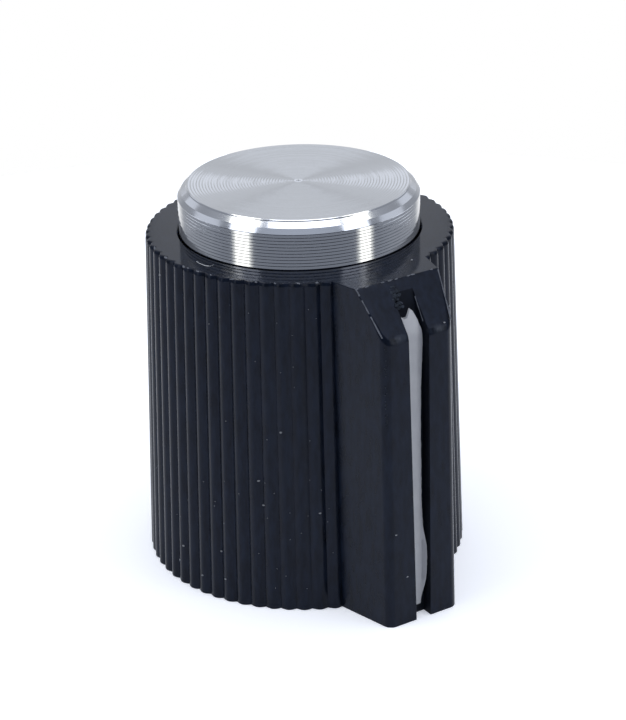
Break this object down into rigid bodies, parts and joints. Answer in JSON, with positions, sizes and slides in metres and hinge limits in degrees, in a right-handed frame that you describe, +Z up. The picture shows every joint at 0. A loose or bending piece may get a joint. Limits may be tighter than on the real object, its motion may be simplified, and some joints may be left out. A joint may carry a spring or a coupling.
{
  "type": "control knob",
  "caption": "Tall ribbed control knob with a pointer fin, a painted line in the fin's groove and a turned metal cap, fixed to a quarter-inch shaft by a grub screw.",
  "frame": {"origin": "centre of the shaft bore's mouth, in the plane of the base", "axes": "+Z up along the shaft's axis, from the base to the cap; the pointer looks along -Y"},
  "size_m": [0.016, 0.0184, 0.0191],
  "materials": {
    "moulded_black": "moulded, satin",
    "turned_aluminium": "turned and faced",
    "line_paint": "hand-filled enamel",
    "bush_brass": "turned",
    "screw_steel": "black oxide"
  },
  "bodies": {
    "root": {"knob_body": "moulded_black", "cap_insert": "turned_aluminium", "pointer_line": "line_paint", "shaft_bush": "bush_brass", "grub_screw": "screw_steel"}
  },
  "joints": []
}
